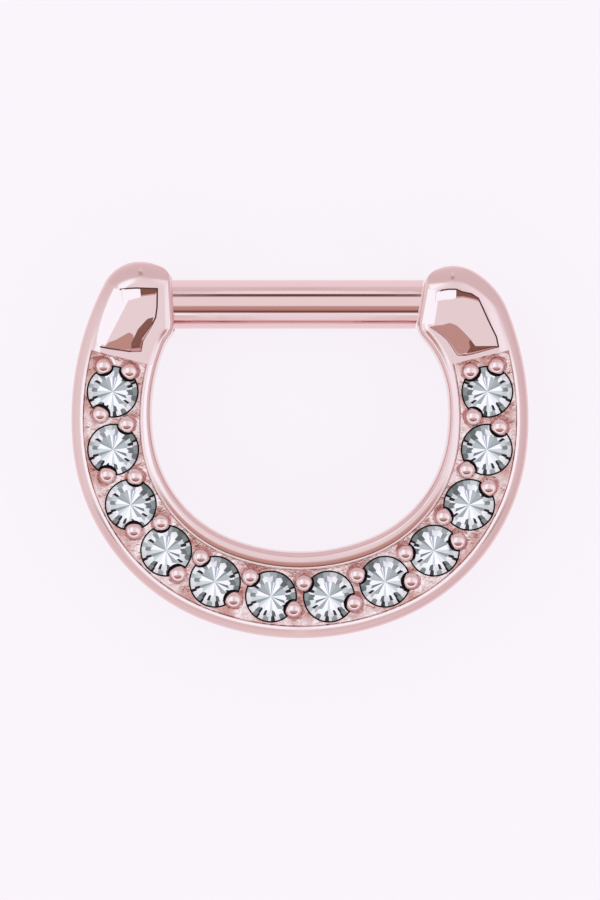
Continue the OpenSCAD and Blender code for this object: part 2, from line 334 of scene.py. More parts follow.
# The stones and their pattern
zirconia = {
    "radius": 0.6,          # the radius and the point in millimetres, the rest of the cut in shares of
    "point": 0.02,          # the diameter, as cutters give it
    "table": 0.56,
    "crown": 0.15,
    "pavilion": 0.41,
    "girdle": 0.02,
    "girdleSides": 48,
    "contrast": 1.45,
    # strength of the painted glow of the bright facets
    "glow": 0.24,
    # rings of the pattern end at these shares of the radius, and their borders zigzag
    "heartEnd": 0.6,
    "crownEnd": 0.82,
    "zigzags": 16.0,
    "zigzagDepth": 0.035,
    # angle at which each painted reflection starts: 0 is on the left, 90 below, 270 above
    "heartPaintedReflections": [
        (0, "D9DEE0"), (12, "A9AFB2"), (26, "D4D8DA"), (40, "EDEDF2"), (62, "F9F8FB"), (84, "DADEE3"),
        (96, "F6F5F8"), (118, "B4BABC"), (136, "F2F2F6"), (152, "8E9698"), (164, "F4F3F7"),
        (186, "C4C9CC"), (214, "A4ABAD"), (226, "F8F7FA"), (248, "BFC5CB"), (254, "F3F2F7"),
        (260, "B9BECB"), (268, "E4E5EE"), (272, "FBFAFD"), (280, "C3C8CA"), (302, "B7BDBF"),
        (326, "AAB1B3"), (334, "F7F6F9"), (354, "D9DEE0"),
    ],
    "crownPaintedReflections": [
        (0, "D8DCDF"), (14, "2B3032"), (22, "F1F1F4"), (38, "8B9395"), (48, "15181A"), (56, "F3F3F6"),
        (66, "22272A"), (74, "E9EAED"), (92, "7E8688"), (104, "F5F5F7"), (128, "C9CED0"),
        (140, "1D2123"), (147, "E8E9EC"), (168, "8A9294"), (186, "F3F2F6"), (192, "252A2C"),
        (202, "DDE0E2"), (214, "7D8587"), (232, "F4F3F7"), (252, "B3B9BD"), (264, "EDEDF1"),
        (280, "F6F5F8"), (296, "A7AEB0"), (310, "F4F3F6"), (322, "30363A"), (330, "D5D9DB"),
        (346, "9DA5A7"),
    ],
    "edgePaintedReflections": [
        (0, "E6E8EA"), (18, "1A1D1F"), (24, "EEEFF1"), (40, "A3ABAD"), (52, "2A2F31"), (57, "F4F3F6"),
        (68, "B9BFC1"), (82, "F2F2F5"), (90, "50585A"), (99, "F5F4F7"), (112, "9AA2A4"),
        (124, "EFEFF2"), (140, "D0D4D6"), (156, "8D9597"), (170, "A9B0B2"), (190, "E4E6E8"),
        (199, "23282A"), (204, "9BA3A3"), (222, "868F8E"), (238, "A0A8A8"), (254, "C0C6C9"),
        (272, "DADEE0"), (290, "B8BFC1"), (306, "E1E4E6"), (322, "F0F0F3"), (338, "C8CDCF"),
        (350, "EDEEF0"),
    ],
}


def clearStone():
    # brilliant cut zirconia with painted reflections: wedges of white, grey and black round the point of
    # the stone, as each facet would throw back another piece of the studio
    material, tree, output = newMaterial("brilliantCutZirconia")
    place = addNode(tree, "ShaderNodeUVMap", uv_map="facetPlan")
    split = addNode(tree, "ShaderNodeSeparateXYZ", {"Vector": place.outputs["UV"]})
    angle = addNode(tree, "ShaderNodeMath", {
        0: split.outputs["Y"], 1: split.outputs["X"]}, operation="ARCTAN2")
    turn = addNode(tree, "ShaderNodeMapRange", {
        "Value": angle.outputs[0], "From Min": -math.pi, "From Max": math.pi})
    rings = []
    for name in ("heartPaintedReflections", "crownPaintedReflections", "edgePaintedReflections"):
        ramp = addNode(tree, "ShaderNodeValToRGB", {"Fac": turn.outputs["Result"]})
        ramp.color_ramp.interpolation = "CONSTANT"
        stops = ramp.color_ramp.elements
        for i, (start, shade) in enumerate(zirconia[name]):
            stop = stops[i] if i < 2 else stops.new(1.0)
            stop.position = start / 360
            stop.color = linear(shade)
        rings.append(ramp.outputs["Color"])
    # the borders of the rings zigzag between the facets
    radius = addNode(tree, "ShaderNodeVectorMath", {0: place.outputs["UV"]}, operation="LENGTH")
    spokes = addNode(tree, "ShaderNodeMath", {
        0: angle.outputs[0], 1: zirconia["zigzags"]}, operation="MULTIPLY")
    wave = addNode(tree, "ShaderNodeMath", {0: spokes.outputs[0]}, operation="SINE")
    border = addNode(tree, "ShaderNodeMath", {
        0: wave.outputs[0], 1: zirconia["zigzagDepth"], 2: radius.outputs["Value"]},
        operation="MULTIPLY_ADD")
    pattern = rings[0]
    for ring, start in ((rings[1], zirconia["heartEnd"]), (rings[2], zirconia["crownEnd"])):
        past = addNode(tree, "ShaderNodeMath", {0: border.outputs[0], 1: start}, operation="GREATER_THAN")
        both = addNode(tree, "ShaderNodeMix", {
            "Factor": past.outputs[0], "A": pattern, "B": ring}, data_type="RGBA")
        pattern = both.outputs["Result"]
    deep = addNode(tree, "ShaderNodeGamma", {
        "Color": pattern, "Gamma": zirconia["contrast"]}).outputs["Color"]
    # painted light: the bright facets glow a little though the stone is no lamp, standing for the light
    # that a stone gives back from elsewhere
    shader = addNode(tree, "ShaderNodeBsdfPrincipled", {
        "Base Color": deep, "Roughness": 0.03, "Specular IOR Level": 0.4,
        "Emission Color": deep, "Emission Strength": zirconia["glow"]})
    tree.links.new(shader.outputs["BSDF"], output.inputs["Surface"])
    return material


# Painted shade for a recess in the metal: a dark colour mottled between two tones in patches of the given
# size
def shadedRecess(name, size, dark, pale, roughness):
    material, tree, output = newMaterial(name)
    place = addNode(tree, "ShaderNodeTexCoord")
    patch = addNode(tree, "ShaderNodeTexNoise", {
        "Vector": place.outputs["Object"], "Scale": 1 / (size * mm)})
    tint = addNode(tree, "ShaderNodeMix", {
        "Factor": patch.outputs["Fac"], "A": linear(dark), "B": linear(pale)}, data_type="RGBA")
    shader = addNode(tree, "ShaderNodeBsdfPrincipled", {
        "Base Color": tint.outputs["Result"], "Roughness": roughness})
    tree.links.new(shader.outputs["BSDF"], output.inputs["Surface"])
    return material


polished = roseMetal("polishedRoseGoldSteel", steel["polished"])
softPolished = roseMetal("tumbledRoseGoldSteel", steel["tumbled"])
cast = castMetal()
stoneLook = clearStone()
# painted shade: the cut round a stone, where hardly any light gets in, is coloured dark
gapLook = shadedRecess("shadedSeat", 0.2, "2C1C1C", "4E3330", 0.7)
# painted shade: a scribed line in the metal, coloured dark brown to stand for the shade in it
creaseLook = shadedRecess("scribedLinePaintedShade", 0.1, "6E3B30", "96584A", 0.5)
print("materials made")


def grainPlaces():
    places = []
    for i in range(1, stoneCount):
        for depth, shift in zip(setting["grainDepths"], setting["grainShifts"]):
            places.append(rowPoint(stoneAlong(i + 0.5) + shift, depth))
    for end in (-1, 1):
        for depth in setting["grainDepths"]:
            places.append(rowPoint(end * setting["lastGrain"], depth - setting["endShift"]))
    return places


grains = grainPlaces()

# Frame
body = {
    "top": 2.3,
    "frontRound": 0.74,     # width of the soft rounding outside
    "frontShift": 0.08,     # how far outside the outline it starts
    "frontSink": 0.012,     # how far it ends above the flat top, which leaves a fine crease
    "smallRound": 0.26,     # width of the rounding beside the bar and round the opening
    "flatten": 0.646,       # height of a rounding for its width
    "straightFrom": 105,    # angle on the end arc after which the soft rounding runs straight on
    "frontReach": 0.9,      # how far the cutter goes past the metal
    "endReach": 1.5,
    "middle": 1.0,          # above this height the roundings are flattened
    "backRound": 0.12,
    "rim": 0.29,            # outer rim
    "channel": 1.38,
    "flare": 0.31,          # how much wider the channel is above its crests
    "floor": 2.03,
    "floorRound": 0.03,
    "outerCrest": 2.25,     # crest of the outer rim
    "innerCrest": 2.272,
    "lipOuter": 0.03,
    "lipInner": 0.24,
    "lipFlatten": 0.35,
    "castBelow": 2.12,      # lower down the channel was left as cast
    "channelEnd": 14.1,     # angle on the side arc at which the channel stops
    "seatRadius": 0.638,
    "seatDepth": 0.35,
    "dish": (0.31, 0.05),   # radius and depth of the mark that the beading tool leaves
    "grainRise": 0.03,
    "grainFlatten": 0.58,
}
# The hinge, the catch and the bar share these
hinge = {
    "pivot": Vector((-3.82, barY)),
    "knuckle": 0.55,        # radius of the bar's tongue round the pin
    "boss": 0.66,
    "barZ": 1.1,            # height of the bar's axis
    "tongue": 0.7,          # thickness of the tongues
    "gap": 0.05,
    "pinRadius": 0.3,
    "pinTop": 1.95,
    "pinFit": 0.02,         # between the pin and the frame's bore
    "pinRun": 0.03,         # between the pin and the bar
    "neck": 0.45,           # radius of the tongue in the catch, and half the width of both
    "catch": Vector((3.55, barY)),
    "tongueLength": 1.2,    # from the centres of their round ends into the bar
    "barRadius": 0.6,
    "barGap": 0.04,
    "pinBottom": 0.02,
    "pinRound": 0.04,
}


# The whole outline raised to its height, with rounded edges. The rounding is made full, then flattened.
def frameBlank():
    bm = bmesh.new()
    traceArcs(bm, halfOutline("Hinge"))
    bmesh.ops.scale(bm, vec=(-1, 1, 1), verts=bm.verts)
    traceArcs(bm, halfOutline("Catch"))
    bmesh.ops.remove_doubles(bm, verts=bm.verts, dist=tiny)
    bmesh.ops.edgeloop_fill(bm, edges=bm.edges)
    raised = bmesh.ops.extrude_face_region(bm, geom=bm.faces[:])
    rawTop = body["middle"] + (body["top"] - body["middle"]) / body["flatten"]
    bmesh.ops.translate(bm, vec=(0, 0, rawTop), verts=onlyVerts(raised["geom"]))
    for height, size, segments in ((rawTop, body["smallRound"], 18), (0, body["backRound"], 4)):
        rim = [e for e in bm.edges if all(abs(v.co.z - height) < tiny for v in e.verts)]
        bmesh.ops.bevel(bm, geom=rim, offset=size, segments=segments, profile=0.5, affect="EDGES",
                        material=-1, clamp_overlap=False)
    for v in bm.verts:
        v.co.z = min(v.co.z, body["middle"]) + max(0, v.co.z - body["middle"]) * body["flatten"]
    return bm


# A line through the points, one after another
def chain(bm, points):
    verts = bmesh.ops.create_vert(bm, co=points[0])["vert"]
    for point in points[1:]:
        verts = verts + bmesh.ops.extrude_vert_indiv(bm, verts=verts[-1:])["verts"]
        verts[-1].co = point
    return verts


# A flat face with the points as its corners. A set has another order in each run, so the sides are a
# list: the face always starts at the same corner.
def flatFace(bm, points):
    verts = chain(bm, points)
    bmesh.ops.contextual_create(bm, geom=[verts[0], verts[-1]])
    sides = [edge for edge in bm.edges if edge.verts[0] in verts and edge.verts[1] in verts]
    bmesh.ops.edgeloop_fill(bm, edges=sides)
    return verts


# A section across the middle of the curve: depths inside the outline, and heights
def sectionAt(bm, outline):
    return flatFace(bm, [(0, bottomY + depth, z) for depth, z in outline])


# What the wide soft rounding takes off outside. Beside the bar it runs straight on past the end.
def frontRoom():
    bm = bmesh.new()
    outside = -body["frontShift"]
    high = body["top"] + body["frontSink"]
    far = body["frontReach"]
    for end in ("Hinge", "Catch"):
        bmesh.ops.scale(bm, vec=(-1, 1, 1), verts=bm.verts)
        old = set(bm.verts)
        verts = sectionAt(bm, [(-far, high - far), (outside, high - far), (outside, high), (far, high),
                               (far, high + far), (-far, high + far)])
        bmesh.ops.bevel(bm, geom=[verts[2]], offset=body["frontRound"], segments=28, profile=0.5,
                        affect="VERTICES", material=-1, clamp_overlap=False)
        section = [v for v in bm.verts if v not in old]
        for v in section:
            v.co.z = high + (v.co.z - high) * body["flatten"]
        section += [e for e in bm.edges if e.verts[0] not in old and e.verts[1] not in old]
        arcs = outerArcs[end][:4]
        centre, radius, begin, stop = outerArcs[end][4]
        geometry = sweep(bm, section, arcs + [(centre, radius, begin, body["straightFrom"])])
        ahead = bmesh.ops.extrude_edge_only(bm, edges=onlyEdges(geometry))["geom"]
        onward = polar(body["straightFrom"] + 90, body["endReach"]).to_3d()
        bmesh.ops.translate(bm, vec=onward, verts=onlyVerts(ahead))
        bmesh.ops.edgeloop_fill(bm, edges=onlyEdges(ahead))
    cap = [f for f in bm.faces if all(abs(v.co.x) < tiny for v in f.verts)]
    bmesh.ops.delete(bm, geom=cap, context="FACES_ONLY")
    bmesh.ops.remove_doubles(bm, verts=bm.verts, dist=tiny)
    return bm


# The channel's room: its section starts at the middle of the curve and is swept along the side
def channelRoom():
    bm = bmesh.new()
    near = body["rim"]
    far = near + body["channel"]
    floor = body["floor"]
    sky = body["top"] + 0.5
    flare = body["flare"]
    outer = body["outerCrest"]
    inner = body["innerCrest"]
    verts = sectionAt(bm, [(near, floor), (far, floor), (far, inner), (far + flare, inner),
                           (far + flare, sky), (near - flare, sky), (near - flare, outer), (near, outer)])
    rounds = (([verts[0], verts[1]], body["floorRound"], 4), ([verts[2]], body["lipInner"], 12),
              ([verts[7]], body["lipOuter"], 4))
    for corners, size, segments in rounds:
        bmesh.ops.bevel(bm, geom=corners, offset=size, segments=segments, profile=0.5, affect="VERTICES",
                        material=-1, clamp_overlap=False)
    for v in bm.verts:
        if v.co.y > bottomY + far - tiny and floor + body["floorRound"] + tiny < v.co.z < inner:
            v.co.z = inner - (inner - v.co.z) * body["lipFlatten"]
    bmesh.ops.delete(bm, geom=bm.faces[:], context="FACES_ONLY")
    arcs = [(centre, radius, begin, min(stop, body["channelEnd"]))
            for centre, radius, begin, stop in outerArcs["Catch"][:3]]
    section = sweep(bm, bm.edges[:] + bm.verts[:], arcs)
    bmesh.ops.edgeloop_fill(bm, edges=onlyEdges(section))
    bmesh.ops.mirror(bm, geom=bm.faces[:] + bm.edges[:] + bm.verts[:], axis="X", merge_dist=tiny)
    for face in bm.faces:
        face.material_index = 1 if face.calc_center_median().z < body["castBelow"] else 0
    return bm


# The round cut that each stone sits in
def seatRooms():
    bm = bmesh.new()
    for i in range(1, stoneCount + 1):
        at = rowPoint(stoneAlong(i), setting["depth"])
        place = Matrix.Translation((at.x, at.y, body["floor"]))
        bmesh.ops.create_cone(bm, cap_ends=True, segments=64, radius1=body["seatRadius"],
                              radius2=body["seatRadius"], depth=2 * body["seatDepth"], matrix=place)
    # the seat's walls take the painted shade of the cut round a stone
    for face in bm.faces:
        face.material_index = 2
    return bm


# The shallow mark that the beading tool leaves round each grain
def dishes():
    bm = bmesh.new()
    radius, depth = body["dish"]
    ball = (radius ** 2 + depth ** 2) / (2 * depth)
    for at in grains:
        place = Matrix.Translation((at.x, at.y, body["floor"] - depth + ball))
        made = bmesh.ops.create_uvsphere(bm, u_segments=40, v_segments=48, radius=ball, matrix=place)
        high = [v for v in made["verts"] if v.co.z > body["floor"] + 0.01]
        bmesh.ops.delete(bm, geom=high, context="VERTS")
    bmesh.ops.holes_fill(bm, edges=bm.edges, sides=0)
    for face in bm.faces:
        face.material_index = 1
    return bm


def grainBeads():
    bm = bmesh.new()
    squash = Matrix.Diagonal((1, 1, body["grainFlatten"], 1))
    for at in grains:
        place = Matrix.Translation((at.x, at.y, body["floor"] + body["grainRise"]))
        bmesh.ops.create_uvsphere(bm, u_segments=28, v_segments=18, radius=setting["grainRadius"],
                                  matrix=place @ squash)
    return bm


# Flat cuts in the front of each end, and the scribed line round them. A cut has its outline, the
# direction in which it slopes down, its slope and a point at which it leaves the surface.
ends = {
    "lineWidth": 0.038,
    "lineBottom": 2.245,
    "cutReach": 0.3,        # how far a cut goes past the surface
    "hingeCuts": {
        "strip": ([(-4.75, 2.555), (-4.17, 3.67), (-4.3, 3.93), (-4.6, 3.95), (-5.3, 2.75)],
                  (-0.888, 0.46), 0.14, (-4.697, 2.659)),
        "hook": ([(-4.36, 3.92), (-3.9, 3.935), (-3.88, 3.73), (-4.14, 3.66), (-4.33, 3.62)],
                 (-0.93, 0.37), 0.13, (-3.89, 3.72)),
        "top": ([(-3.9, 3.945), (-3.48, 3.935), (-3.52, 3.79), (-3.88, 3.74)],
                (0, -1), 0.32, (-3.7, 3.96)),
        "right": ([(-3.57, 3.24), (-3.63, 3.0), (-3.77, 2.78), (-3.84, 2.66), (-3.885, 2.41),
                   (-4.11, 2.405), (-4.12, 2.6), (-3.95, 2.95), (-3.72, 3.2)],
                  (0.474, -0.88), 0.349, (-3.6, 3.258)),
        "patch": ([(-4.78, 2.5), (-4.66, 2.63), (-4.5, 2.68), (-4.17, 2.87), (-4.07, 2.81),
                   (-4.05, 2.66), (-4.1, 2.42), (-4.65, 2.48)], (0.416, -0.909), 0.193, (-4.16, 2.87)),
    },
    "hingeLine": [
        (-4.4, 3.915), (-4.2, 3.94), (-4.0, 3.95), (-3.48, 3.935), (-3.487, 3.486), (-3.521, 3.232),
        (-3.633, 3.008), (-3.772, 2.783), (-3.836, 2.659), (-3.884, 2.413), (-4.165, 2.405),
        (-4.656, 2.476), (-4.88, 2.52),
    ],
    "catchCuts": {
        "strip": ([(3.16, 3.06), (3.3, 3.06), (3.36, 3.66), (3.36, 3.9), (3.0, 3.95), (2.9, 3.1)],
                  (-0.985, 0.17), 0.14, (3.33, 3.4)),
        "hook": ([(3.3, 3.86), (3.5, 3.92), (3.81, 3.92), (3.81, 3.72), (3.73, 3.68), (3.48, 3.66),
                  (3.3, 3.62)], (-0.93, 0.37), 0.13, (3.81, 3.7)),
        "top": ([(3.81, 3.92), (3.96, 3.85), (4.18, 3.81), (4.35, 3.7), (4.36, 3.61), (4.27, 3.65),
                 (4.13, 3.69), (3.97, 3.72), (3.81, 3.7)], (-0.2, -0.98), 0.32, (3.81, 3.95)),
        "inner": ([(3.19, 3.0), (3.31, 3.035), (3.48, 3.05), (3.65, 3.1), (3.82, 3.04), (3.93, 2.94),
                   (4.04, 2.83), (4.14, 2.72), (4.17, 2.51), (4.04, 2.34), (3.85, 2.32), (3.78, 2.42),
                   (3.69, 2.56), (3.59, 2.7), (3.44, 2.83), (3.29, 2.92)],
                  (-0.656, -0.755), 0.228, (3.93, 2.955)),
        "bottom": ([(4.04, 2.83), (4.14, 2.72), (4.22, 2.61), (4.28, 2.535), (4.77, 2.54), (4.84, 2.52),
                    (4.46, 2.42), (4.21, 2.35), (4.04, 2.32), (4.15, 2.5), (4.11, 2.68)],
                   (0, -1), 0.32, (4.2, 2.72)),
    },
    "catchLine": [
        (3.19, 3.0), (3.29, 2.93), (3.44, 2.83), (3.59, 2.7), (3.69, 2.56), (3.78, 2.42), (3.85, 2.32),
        (4.04, 2.315), (4.21, 2.35), (4.46, 2.42), (4.84, 2.52), (4.79, 2.76), (4.6, 3.15),
        (4.46, 3.46), (4.35, 3.7), (4.18, 3.81), (3.96, 3.855), (3.81, 3.92), (3.62, 3.92), (3.48, 3.9),
        (3.33, 3.85),
    ],
}


def flatCut(outline, facing, slope, meets):
    bm = prism(outline, Vector((0, 0)), body["top"] - ends["cutReach"], body["top"] + ends["cutReach"])
    away = Vector((facing[0] * slope, facing[1] * slope, 1)).normalized()
    cut = bmesh.ops.bisect_plane(bm, geom=bm.faces[:] + bm.edges[:] + bm.verts[:], dist=tiny,
                                 plane_co=(*meets, body["top"]), plane_no=away, clear_inner=True)
    bmesh.ops.edgeloop_fill(bm, edges=onlyEdges(cut["geom_cut"]))
    return bm


# A narrow upright ribbon along the points, which cuts the line
def scribedLine(points):
    bm = bmesh.new()
    chain(bm, [(x, y, ends["lineBottom"]) for x, y in points])
    raised = bmesh.ops.extrude_edge_only(bm, edges=bm.edges[:])
    bmesh.ops.translate(bm, vec=(0, 0, ends["cutReach"]), verts=onlyVerts(raised["geom"]))
    bm = modified(bm, "SOLIDIFY", thickness=ends["lineWidth"], offset=0, use_even_offset=True)
    # the ribbon's faces take the painted dark brown shade
    for face in bm.faces:
        face.material_index = 3
    return bm


def cylinder(centre, radius, low, high, segments=64):
    bm = bmesh.new()
    place = Matrix.Translation((centre.x, centre.y, (low + high) / 2))
    bmesh.ops.create_cone(bm, cap_ends=True, segments=segments, radius1=radius, radius2=radius,
                          depth=high - low, matrix=place)
    return bm


def prism(outline, centre, low, high):
    bm = bmesh.new()
    flatFace(bm, [(centre.x + x, centre.y + y, low) for x, y in outline])
    raised = bmesh.ops.extrude_face_region(bm, geom=bm.faces[:])
    bmesh.ops.translate(bm, vec=(0, 0, high - low), verts=onlyVerts(raised["geom"]))
    return bm


# The slot in the hinge end: wide for the round bar, narrow between the two bosses that carry the pin.
# The swing is the plan of the room that the bar turns through, and runs on past the metal.
def hingeSlot():
    pivot = hinge["pivot"]
    boss = hinge["boss"]
    z = hinge["barZ"]
    wide = hinge["barRadius"] + hinge["gap"]
    narrow = hinge["tongue"] / 2 + hinge["gap"]
    swing = [(0, 0), (0, -boss), (2.5, -boss), (2.5, 5), (-boss, 5), (-boss, 0)]
    room = combined(prism(swing, pivot, z - wide, z + wide),
                    cylinder(pivot, boss, z - 2 * wide, z + 2 * wide))
    knuckle = combined(prism(swing, pivot, z - narrow, z + narrow),
                       cylinder(pivot, hinge["knuckle"] + hinge["gap"], z - narrow, z + narrow), "UNION")
    room = combined(room, knuckle, "UNION")
    bore = cylinder(pivot, hinge["pinRadius"] + hinge["pinFit"], -1, hinge["pinTop"] + hinge["pinFit"])
    return combined(room, bore, "UNION")


# The slot in the catch end, open towards the bar and away from the curve
def catchSlot():
    side = hinge["neck"] + hinge["gap"]
    narrow = hinge["tongue"] / 2 + hinge["gap"]
    low = hinge["barZ"] - narrow
    high = hinge["barZ"] + narrow
    mouth = [(-3, -side), (0, -side), (0, 0), (side, 0), (side, 5), (-3, 5)]
    return combined(prism(mouth, hinge["catch"], low, high),
                    cylinder(hinge["catch"], side, low, high), "UNION")


frameMesh = combined(frameBlank(), frontRoom())
frameMesh = combined(frameMesh, channelRoom())
frameMesh = combined(frameMesh, dishes())
frameMesh = combined(frameMesh, seatRooms())
frameMesh = combined(frameMesh, grainBeads(), "UNION")
frameMesh = combined(frameMesh, hingeSlot())
frameMesh = combined(frameMesh, catchSlot())
for name in ("hinge", "catch"):
    for cut in ends[name + "Cuts"].values():
        frameMesh = combined(frameMesh, flatCut(*cut))
    frameMesh = combined(frameMesh, scribedLine(ends[name + "Line"]))
frameLooks = [softPolished, cast, gapLook, creaseLook]
framePiece = finished(frameMesh, "ringFrame", frameLooks, "frame", "frame", smooth=30)
print("frame made:", len(framePiece.data.polygons), "faces")


# Table, crown and pavilion in flat facets, and a girdle
def brilliant():
    bm = bmesh.new()
    radius = zirconia["radius"]
    tall = 2 * radius
    table = zirconia["table"] * radius
    crown = zirconia["crown"] * tall
    half = math.pi / 8      # half of one of the eight folds
    starRadius = (table * math.cos(half) + radius) / 2
    starZ = crown * (radius - starRadius * math.cos(half)) / (radius - table)
    edges = zirconia["girdleSides"]
    rings = [(table, 8, crown, 0), (starRadius, 8, starZ, half), (radius, edges, 0, 0),
             (radius, edges, -zirconia["girdle"] * tall, 0),
             (zirconia["point"], 8, -zirconia["pavilion"] * tall, 0)]
    for ringRadius, count, z, turn in rings:
        place = Matrix.Translation((0, 0, z)) @ Matrix.Rotation(turn, 4, "Z")
        bmesh.ops.create_circle(bm, segments=count, radius=ringRadius, matrix=place)
    hull = bmesh.ops.convex_hull(bm, input=bm.verts[:])
    bmesh.ops.delete(bm, geom=onlyVerts(hull["geom_interior"]), context="VERTS")
    bmesh.ops.dissolve_limit(bm, angle_limit=math.radians(0.5), verts=bm.verts, edges=bm.edges)
    # the girdle and other upright faces take the painted shade of the cut round the stone
    for face in bm.faces:
        face.material_index = 1 if abs(face.normal.z) < 0.2 else 0
    return bm


# One stone in its place, with room cut into its edge for the grains that hold it
def addStone(i):
    bm = brilliant()
    at = rowPoint(stoneAlong(i), setting["depth"])
    bmesh.ops.translate(bm, vec=(at.x, at.y, body["floor"]), verts=bm.verts)
    room = bmesh.new()
    roomRadius = setting["grainRadius"] + setting["gap"]
    for grain in grains:
        if (grain - at).length < zirconia["radius"] + roomRadius:
            place = Matrix.Translation((grain.x, grain.y, body["floor"]))
            bmesh.ops.create_cone(room, cap_ends=True, segments=32, radius1=roomRadius, radius2=roomRadius,
                                  depth=setting["roomHeight"], matrix=place)
    # the room's faces take the painted shade as well
    for face in room.faces:
        face.material_index = 1
    bm = combined(bm, room)
    side = -1 if at.x > 0 else 1    # the pattern is mirrored on the right
    layer = bm.loops.layers.uv.new("facetPlan")
    for face in bm.faces:
        for loop in face.loops:
            x = (loop.vert.co.x - at.x) / zirconia["radius"]
            y = (loop.vert.co.y - at.y) / zirconia["radius"]
            loop[layer].uv = (side * x, y)
    number = f"{i:02d}"
    finished(bm, "brilliant" + number, [stoneLook, gapLook], "frame", "stone_" + number)


for i in range(1, stoneCount + 1):
    addStone(i)
print("stones made")


# Bar
def roundBar():
    bm = bmesh.new()
    left = hinge["pivot"].x
    right = plan["catchFace"][0] + 0.6      # the slanted end is cut from this
    middle = Matrix.Translation(((left + right) / 2, barY, hinge["barZ"]))
    bmesh.ops.create_cone(bm, cap_ends=True, segments=256, radius1=hinge["barRadius"],
                          radius2=hinge["barRadius"], depth=right - left,
                          matrix=middle @ Matrix.Rotation(math.pi / 2, 4, "Y"))
    faceX, tilt = plan["catchFace"]
    normal = Vector((math.cos(math.radians(tilt)), -math.sin(math.radians(tilt)), 0))
    cut = bmesh.ops.bisect_plane(bm, geom=bm.faces[:] + bm.edges[:] + bm.verts[:], dist=tiny,
                                 plane_co=(faceX - hinge["barGap"], barY, 0), plane_no=normal,
                                 clear_outer=True)
    bmesh.ops.edgeloop_fill(bm, edges=onlyEdges(cut["geom_cut"]))
    # the end is hollow, so that it can turn round the boss
    return combined(bm, cylinder(hinge["pivot"], hinge["boss"] + hinge["gap"], 0, 2.2, 128))


# A flat tongue, round at its end, that runs into the bar
def tongue(centre, radius, inward):
    bm = bmesh.new()
    low = hinge["barZ"] - hinge["tongue"] / 2
    place = Matrix.Translation((centre.x, centre.y, low))
    bmesh.ops.create_circle(bm, segments=64, radius=radius, matrix=place)
    neck = min(hinge["neck"], radius)
    for y in (-neck, neck):
        bmesh.ops.create_vert(bm, co=(centre.x + inward, centre.y + y, low))
    bmesh.ops.convex_hull(bm, input=bm.verts[:])
    bmesh.ops.dissolve_limit(bm, angle_limit=math.radians(0.5), verts=bm.verts, edges=bm.edges)
    raised = bmesh.ops.extrude_face_region(bm, geom=bm.faces[:])
    bmesh.ops.translate(bm, vec=(0, 0, hinge["tongue"]), verts=onlyVerts(raised["geom"]))
    return bm


reach = hinge["tongueLength"]
barMesh = combined(roundBar(), tongue(hinge["pivot"], hinge["knuckle"], reach), "UNION")
barMesh = combined(barMesh, tongue(hinge["catch"], hinge["neck"], -reach), "UNION")
barMesh = combined(barMesh, cylinder(hinge["pivot"], hinge["pinRadius"] + hinge["pinRun"], 0, 3))
finished(barMesh, "hingedBar", [polished], "bar", "bar", smooth=12)
pin = cylinder(hinge["pivot"], hinge["pinRadius"], hinge["pinBottom"], hinge["pinTop"])
pinRims = [e for e in pin.edges if abs(e.verts[0].co.z - e.verts[1].co.z) < tiny]
bmesh.ops.bevel(pin, geom=pinRims, offset=hinge["pinRound"], segments=3, profile=0.5, affect="EDGES",
                material=-1, clamp_overlap=False)
finished(pin, "hingePin", [polished], "frame", "hinge_pin", smooth=32)
print("bar made")


